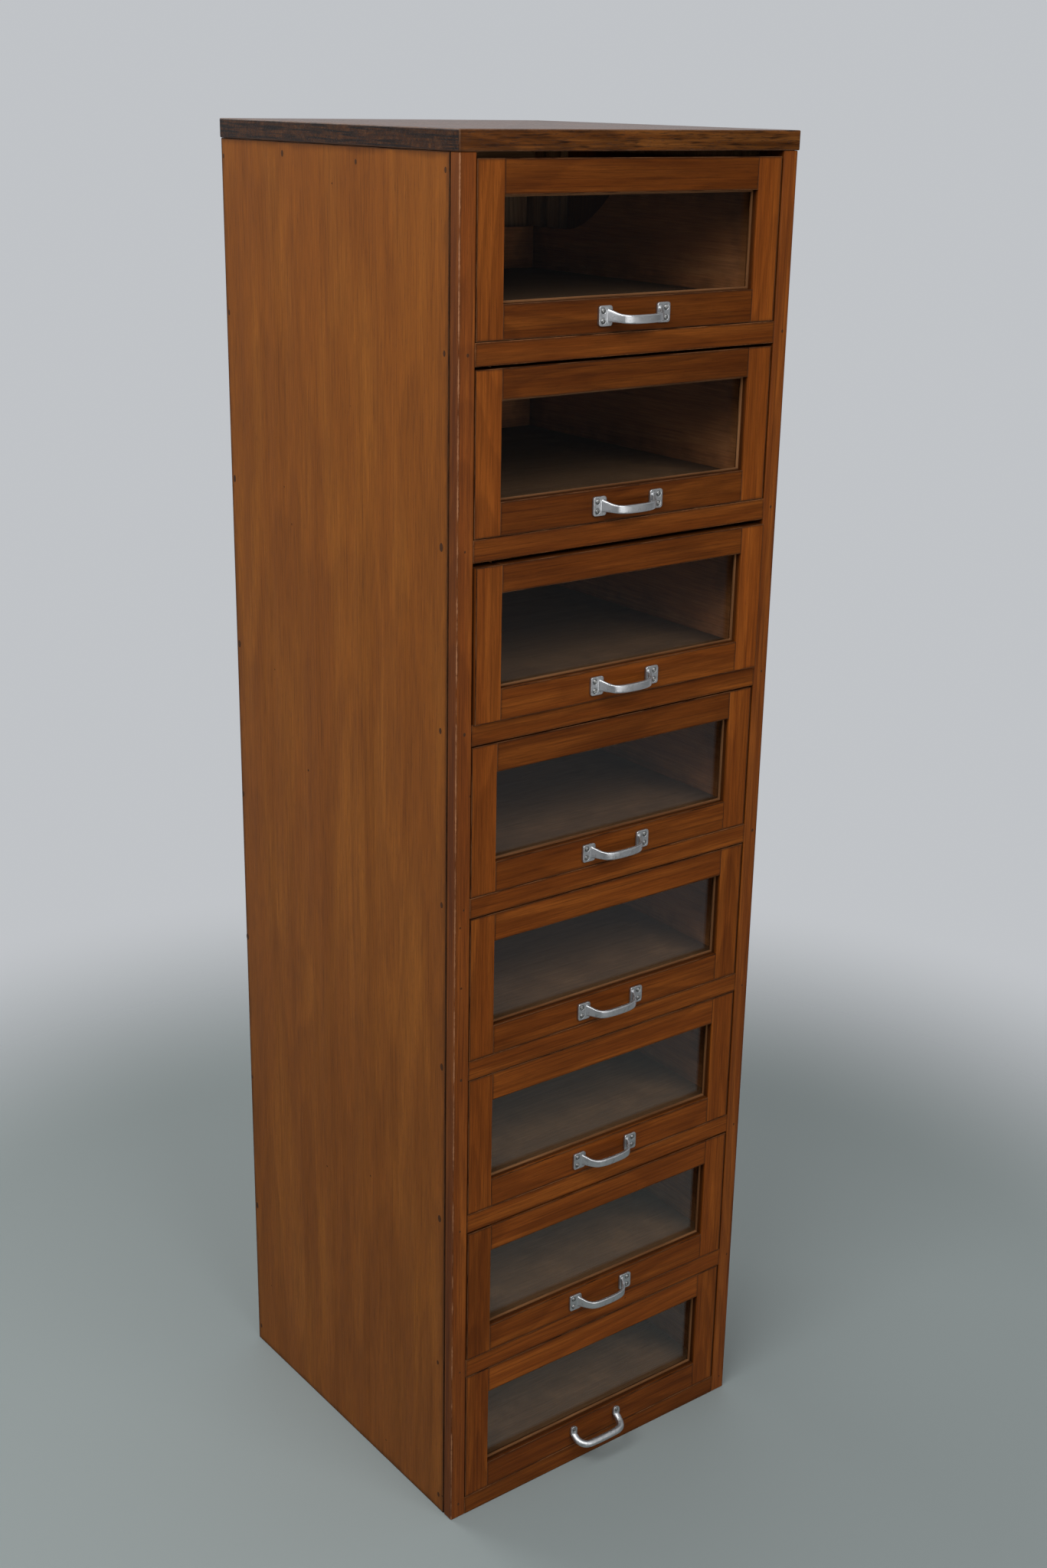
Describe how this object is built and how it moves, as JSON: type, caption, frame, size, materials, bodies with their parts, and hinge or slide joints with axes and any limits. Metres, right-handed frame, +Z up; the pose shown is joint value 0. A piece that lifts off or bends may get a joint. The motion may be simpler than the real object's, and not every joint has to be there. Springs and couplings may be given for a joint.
{
  "type": "haberdashery cabinet",
  "caption": "Tall narrow wooden cabinet of glass-fronted drawers that slide out, each with a cast metal bow handle.",
  "frame": {"origin": "middle of the footprint on the floor, the handles counted in", "axes": "+Z up, the drawers open towards -Y, +X to the right as seen from the front"},
  "size_m": [0.468, 0.5042, 1.6675],
  "materials": {
    "front_wood": "worn satin varnish",
    "side_wood": "worn satin varnish",
    "top_wood": "dark gloss varnish",
    "inner_wood": "dull, unpolished",
    "pane": "clear, polished",
    "cast_metal": "worn satin"
  },
  "bodies": {
    "carcass": {"top_board": "top_wood", "back_panel": "inner_wood", "side_panel_left": "side_wood", "side_panel_right": "side_wood", "front_post_left": "front_wood", "front_post_right": "front_wood", "rear_post_left": "inner_wood", "rear_post_right": "inner_wood", "runner_ladder_left": "inner_wood", "runner_ladder_right": "inner_wood", "bottom_rail": "front_wood", "rear_bottom_rail": "inner_wood", "rear_top_rail": "inner_wood", "drawer_rail_1": "front_wood", "drawer_rail_2": "front_wood", "drawer_rail_3": "front_wood", "drawer_rail_4": "front_wood", "drawer_rail_5": "front_wood", "drawer_rail_6": "front_wood", "drawer_rail_7": "front_wood"},
    "drawer_1": {"drawer_1_front_frame": "front_wood", "drawer_1_glass": "pane", "drawer_1_handle": "cast_metal", "drawer_1_box": "inner_wood", "drawer_1_floor": "inner_wood"},
    "drawer_2": {"drawer_2_front_frame": "front_wood", "drawer_2_glass": "pane", "drawer_2_handle": "cast_metal", "drawer_2_box": "inner_wood", "drawer_2_floor": "inner_wood"},
    "drawer_3": {"drawer_3_front_frame": "front_wood", "drawer_3_glass": "pane", "drawer_3_handle": "cast_metal", "drawer_3_box": "inner_wood", "drawer_3_floor": "inner_wood"},
    "drawer_4": {"drawer_4_front_frame": "front_wood", "drawer_4_glass": "pane", "drawer_4_handle": "cast_metal", "drawer_4_box": "inner_wood", "drawer_4_floor": "inner_wood"},
    "drawer_5": {"drawer_5_front_frame": "front_wood", "drawer_5_glass": "pane", "drawer_5_handle": "cast_metal", "drawer_5_box": "inner_wood", "drawer_5_floor": "inner_wood"},
    "drawer_6": {"drawer_6_front_frame": "front_wood", "drawer_6_glass": "pane", "drawer_6_handle": "cast_metal", "drawer_6_box": "inner_wood", "drawer_6_floor": "inner_wood"},
    "drawer_7": {"drawer_7_front_frame": "front_wood", "drawer_7_glass": "pane", "drawer_7_handle": "cast_metal", "drawer_7_box": "inner_wood", "drawer_7_floor": "inner_wood"},
    "drawer_8": {"drawer_8_front_frame": "front_wood", "drawer_8_glass": "pane", "drawer_8_handle": "cast_metal", "drawer_8_box": "inner_wood", "drawer_8_floor": "inner_wood"}
  },
  "joints": [
    {"name": "drawer_1_slide", "type": "slide", "parent": "carcass", "child": "drawer_1", "axis": [0, -1, 0], "range_m": [0, 0.36]},
    {"name": "drawer_2_slide", "type": "slide", "parent": "carcass", "child": "drawer_2", "axis": [0, -1, 0], "range_m": [0, 0.36]},
    {"name": "drawer_3_slide", "type": "slide", "parent": "carcass", "child": "drawer_3", "axis": [0, -1, 0], "range_m": [-0.005, 0.36]},
    {"name": "drawer_4_slide", "type": "slide", "parent": "carcass", "child": "drawer_4", "axis": [0, -1, 0], "range_m": [0, 0.36]},
    {"name": "drawer_5_slide", "type": "slide", "parent": "carcass", "child": "drawer_5", "axis": [0, -1, 0], "range_m": [0, 0.36]},
    {"name": "drawer_6_slide", "type": "slide", "parent": "carcass", "child": "drawer_6", "axis": [0, -1, 0], "range_m": [0, 0.36]},
    {"name": "drawer_7_slide", "type": "slide", "parent": "carcass", "child": "drawer_7", "axis": [0, -1, 0], "range_m": [-0.001, 0.36]},
    {"name": "drawer_8_slide", "type": "slide", "parent": "carcass", "child": "drawer_8", "axis": [0, -1, 0], "range_m": [0, 0.36]}
  ]
}
